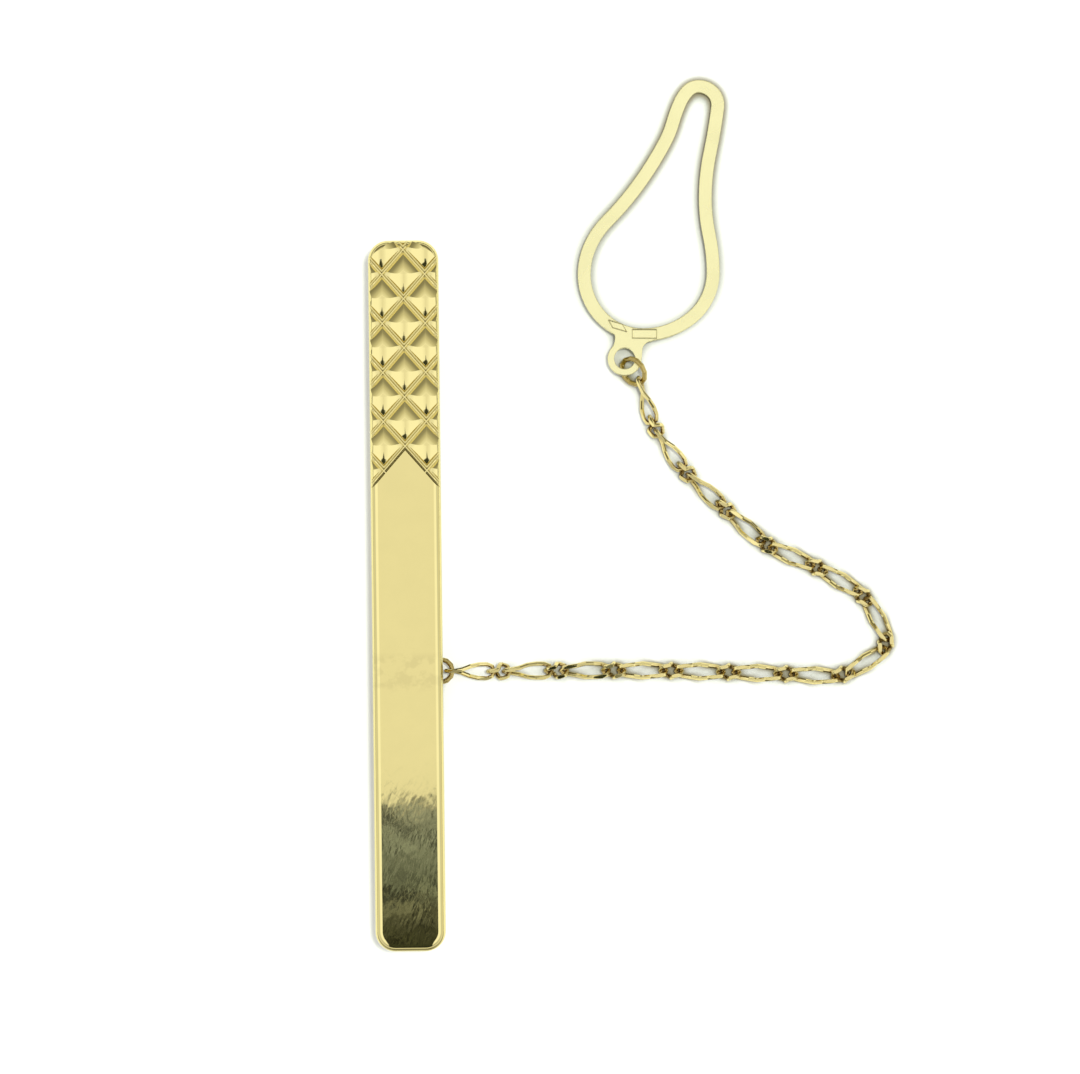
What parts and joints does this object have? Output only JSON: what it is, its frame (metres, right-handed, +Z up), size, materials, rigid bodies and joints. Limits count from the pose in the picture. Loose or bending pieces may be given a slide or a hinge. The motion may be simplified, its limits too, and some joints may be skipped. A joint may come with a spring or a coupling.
{
  "type": "tie clip with safety chain",
  "caption": "Slim gilt tie clip: a bar with a diamond lattice at one end over a sprung lever, with a twisted-link safety chain that ends in a flat pear-shaped button loop.",
  "frame": {"origin": "Under the middle of the front bar, on the plane the clip lies on (underside of the lever).", "axes": "+X across the bar to the side the chain leaves, +Y along the bar to its patterned end, +Z up out of the bar's face."},
  "size_m": [0.0443, 0.0735, 0.0045],
  "materials": {
    "gilt_bar": "polished gilt",
    "gilt_clip": "polished gilt",
    "gilt_ring": "polished gilt",
    "gilt_chain": "flat-cut gilt",
    "gilt_loop": "satin gilt",
    "spring_steel": "drawn wire"
  },
  "bodies": {
    "clip_body": {"front_bar": "gilt_bar", "hinge_bracket": "gilt_clip", "hinge_pin": "gilt_clip", "torsion_spring": "spring_steel"},
    "clip_lever": {"clip_lever": "gilt_clip"},
    "clip_ring": {"clip_ring": "gilt_ring"},
    "long_link_01": {"long_link_01": "gilt_chain"},
    "short_link_01": {"short_link_01": "gilt_chain"},
    "long_link_02": {"long_link_02": "gilt_chain"},
    "short_link_02": {"short_link_02": "gilt_chain"},
    "long_link_03": {"long_link_03": "gilt_chain"},
    "short_link_03": {"short_link_03": "gilt_chain"},
    "long_link_04": {"long_link_04": "gilt_chain"},
    "short_link_04": {"short_link_04": "gilt_chain"},
    "long_link_05": {"long_link_05": "gilt_chain"},
    "short_link_05": {"short_link_05": "gilt_chain"},
    "long_link_06": {"long_link_06": "gilt_chain"},
    "short_link_06": {"short_link_06": "gilt_chain"},
    "long_link_07": {"long_link_07": "gilt_chain"},
    "short_link_07": {"short_link_07": "gilt_chain"},
    "long_link_08": {"long_link_08": "gilt_chain"},
    "short_link_08": {"short_link_08": "gilt_chain"},
    "long_link_09": {"long_link_09": "gilt_chain"},
    "short_link_09": {"short_link_09": "gilt_chain"},
    "long_link_10": {"long_link_10": "gilt_chain"},
    "short_link_10": {"short_link_10": "gilt_chain"},
    "long_link_11": {"long_link_11": "gilt_chain"},
    "short_link_11": {"short_link_11": "gilt_chain"},
    "long_link_12": {"long_link_12": "gilt_chain"},
    "short_link_12": {"short_link_12": "gilt_chain"},
    "long_link_13": {"long_link_13": "gilt_chain"},
    "short_link_13": {"short_link_13": "gilt_chain"},
    "long_link_14": {"long_link_14": "gilt_chain"},
    "short_link_14": {"short_link_14": "gilt_chain"},
    "long_link_15": {"long_link_15": "gilt_chain"},
    "loop_ring": {"loop_ring": "gilt_ring"},
    "button_loop": {"button_loop": "gilt_loop"}
  },
  "joints": [
    {"name": "lever_hinge", "type": "hinge", "parent": "clip_body", "child": "clip_lever", "pos_m": [0, -0.0095, 0.00175], "axis": [-1, 0, 0], "range_deg": [0, 6.5], "stiffness_Nm_per_rad": 0.03, "springref_deg": -57.3, "deforming": ["torsion_spring"]},
    {"name": "clip_ring_swing", "type": "hinge", "parent": "clip_body", "child": "clip_ring", "pos_m": [0.00245, -0.0073, 0.0013], "axis": [1, 0, 0], "range_deg": [-14, 35]},
    {"name": "long_link_01_turn", "type": "hinge", "parent": "clip_ring", "child": "long_link_01", "pos_m": [0.00348, -0.00641, 0.0013], "axis": [0, 0, -1], "range_deg": [-16, 33]},
    {"name": "short_link_01_turn", "type": "hinge", "parent": "long_link_01", "child": "short_link_01", "pos_m": [0.00702, -0.00649, 0.00114], "axis": [0, 0, 1], "range_deg": [-26, 16]},
    {"name": "long_link_02_turn", "type": "hinge", "parent": "short_link_01", "child": "long_link_02", "pos_m": [0.00835, -0.0065, 0.001], "axis": [0, 0, -1], "range_deg": [-16, 31]},
    {"name": "short_link_02_turn", "type": "hinge", "parent": "long_link_02", "child": "short_link_02", "pos_m": [0.01189, -0.00648, 0.00087], "axis": [0, 0, 1], "range_deg": [-25, 16]},
    {"name": "long_link_03_turn", "type": "hinge", "parent": "short_link_02", "child": "long_link_03", "pos_m": [0.01322, -0.00648, 0.00076], "axis": [0, 0, -1], "range_deg": [-17, 29]},
    {"name": "short_link_03_turn", "type": "hinge", "parent": "long_link_03", "child": "short_link_03", "pos_m": [0.01676, -0.00651, 0.00066], "axis": [0, 0, 1], "range_deg": [-28, 17]},
    {"name": "long_link_04_turn", "type": "hinge", "parent": "short_link_03", "child": "long_link_04", "pos_m": [0.01809, -0.00653, 0.00058], "axis": [0, 0, -1], "range_deg": [-17, 30]},
    {"name": "short_link_04_turn", "type": "hinge", "parent": "long_link_04", "child": "short_link_04", "pos_m": [0.02163, -0.0066, 0.00052], "axis": [0, 0, 1], "range_deg": [-35, 17]},
    {"name": "long_link_05_turn", "type": "hinge", "parent": "short_link_04", "child": "long_link_05", "pos_m": [0.02296, -0.00664, 0.00049], "axis": [0, 0, -1], "range_deg": [-18, 36]},
    {"name": "short_link_05_turn", "type": "hinge", "parent": "long_link_05", "child": "short_link_05", "pos_m": [0.02649, -0.00677, 0.00049], "axis": [0, 0, 1], "range_deg": [-35, 18]},
    {"name": "long_link_06_turn", "type": "hinge", "parent": "short_link_05", "child": "long_link_06", "pos_m": [0.02782, -0.00682, 0.00049], "axis": [0, 0, -1], "range_deg": [-18, 35]},
    {"name": "short_link_06_turn", "type": "hinge", "parent": "long_link_06", "child": "short_link_06", "pos_m": [0.03136, -0.00697, 0.00049], "axis": [0, 0, 1], "range_deg": [-35, 18]},
    {"name": "long_link_07_turn", "type": "hinge", "parent": "short_link_06", "child": "long_link_07", "pos_m": [0.03269, -0.00704, 0.00049], "axis": [0, 0, -1], "range_deg": [-18, 35]},
    {"name": "short_link_07_turn", "type": "hinge", "parent": "long_link_07", "child": "short_link_07", "pos_m": [0.03622, -0.00726, 0.00049], "axis": [0, 0, 1], "range_deg": [-52, 15]},
    {"name": "long_link_08_turn", "type": "hinge", "parent": "short_link_07", "child": "long_link_08", "pos_m": [0.03746, -0.00695, 0.00049], "axis": [0, 0, -1], "range_deg": [-19, 66]},
    {"name": "short_link_08_turn", "type": "hinge", "parent": "long_link_08", "child": "short_link_08", "pos_m": [0.04036, -0.00512, 0.00049], "axis": [0, 0, 1], "range_deg": [-75, 6]},
    {"name": "long_link_09_turn", "type": "hinge", "parent": "short_link_08", "child": "long_link_09", "pos_m": [0.04068, -0.00395, 0.00049], "axis": [0, 0, -1], "range_deg": [-6, 75]},
    {"name": "short_link_09_turn", "type": "hinge", "parent": "long_link_09", "child": "short_link_09", "pos_m": [0.03906, -0.00092, 0.00049], "axis": [0, 0, 1], "range_deg": [-66, 27]},
    {"name": "long_link_10_turn", "type": "hinge", "parent": "short_link_09", "child": "long_link_10", "pos_m": [0.03822, -0.00004, 0.00049], "axis": [0, 0, -1], "range_deg": [-28, 66]},
    {"name": "short_link_10_turn", "type": "hinge", "parent": "long_link_10", "child": "short_link_10", "pos_m": [0.03528, 0.00172, 0.00049], "axis": [0, 0, 1], "range_deg": [-46, 30]},
    {"name": "long_link_11_turn", "type": "hinge", "parent": "short_link_10", "child": "long_link_11", "pos_m": [0.03419, 0.00229, 0.00053], "axis": [0, 0, -1], "range_deg": [-31, 46]},
    {"name": "short_link_11_turn", "type": "hinge", "parent": "long_link_11", "child": "short_link_11", "pos_m": [0.03106, 0.00367, 0.00057], "axis": [0, 0, 1], "range_deg": [-41, 31]},
    {"name": "long_link_12_turn", "type": "hinge", "parent": "short_link_11", "child": "long_link_12", "pos_m": [0.03003, 0.00433, 0.00063], "axis": [0, 0, -1], "range_deg": [-32, 31]},
    {"name": "short_link_12_turn", "type": "hinge", "parent": "long_link_12", "child": "short_link_12", "pos_m": [0.02749, 0.00664, 0.00068], "axis": [0, 0, 1], "range_deg": [-39, 35]},
    {"name": "long_link_13_turn", "type": "hinge", "parent": "short_link_12", "child": "long_link_13", "pos_m": [0.0266, 0.00747, 0.00074], "axis": [0, 0, -1], "range_deg": [-36, 36]},
    {"name": "short_link_13_turn", "type": "hinge", "parent": "long_link_13", "child": "short_link_13", "pos_m": [0.0241, 0.00982, 0.00081], "axis": [0, 0, 1], "range_deg": [-26, 39]},
    {"name": "long_link_14_turn", "type": "hinge", "parent": "short_link_13", "child": "long_link_14", "pos_m": [0.0233, 0.01074, 0.00087], "axis": [0, 0, -1], "range_deg": [-40, 30]},
    {"name": "short_link_14_turn", "type": "hinge", "parent": "long_link_14", "child": "short_link_14", "pos_m": [0.02136, 0.01357, 0.00094], "axis": [0, 0, 1], "range_deg": [-21, 41]},
    {"name": "long_link_15_turn", "type": "hinge", "parent": "short_link_14", "child": "long_link_15", "pos_m": [0.02083, 0.01467, 0.001], "axis": [0, 0, -1], "range_deg": [-46, 26]},
    {"name": "loop_ring_turn", "type": "hinge", "parent": "long_link_15", "child": "loop_ring", "pos_m": [0.01988, 0.01802, 0.00107], "axis": [0, 0, 1], "range_deg": [-31, 4]},
    {"name": "button_loop_turn", "type": "hinge", "parent": "loop_ring", "child": "button_loop", "pos_m": [0.01863, 0.01988, 0.00107], "axis": [0, -0.0327, -0.9995], "range_deg": [-40, 40]}
  ]
}
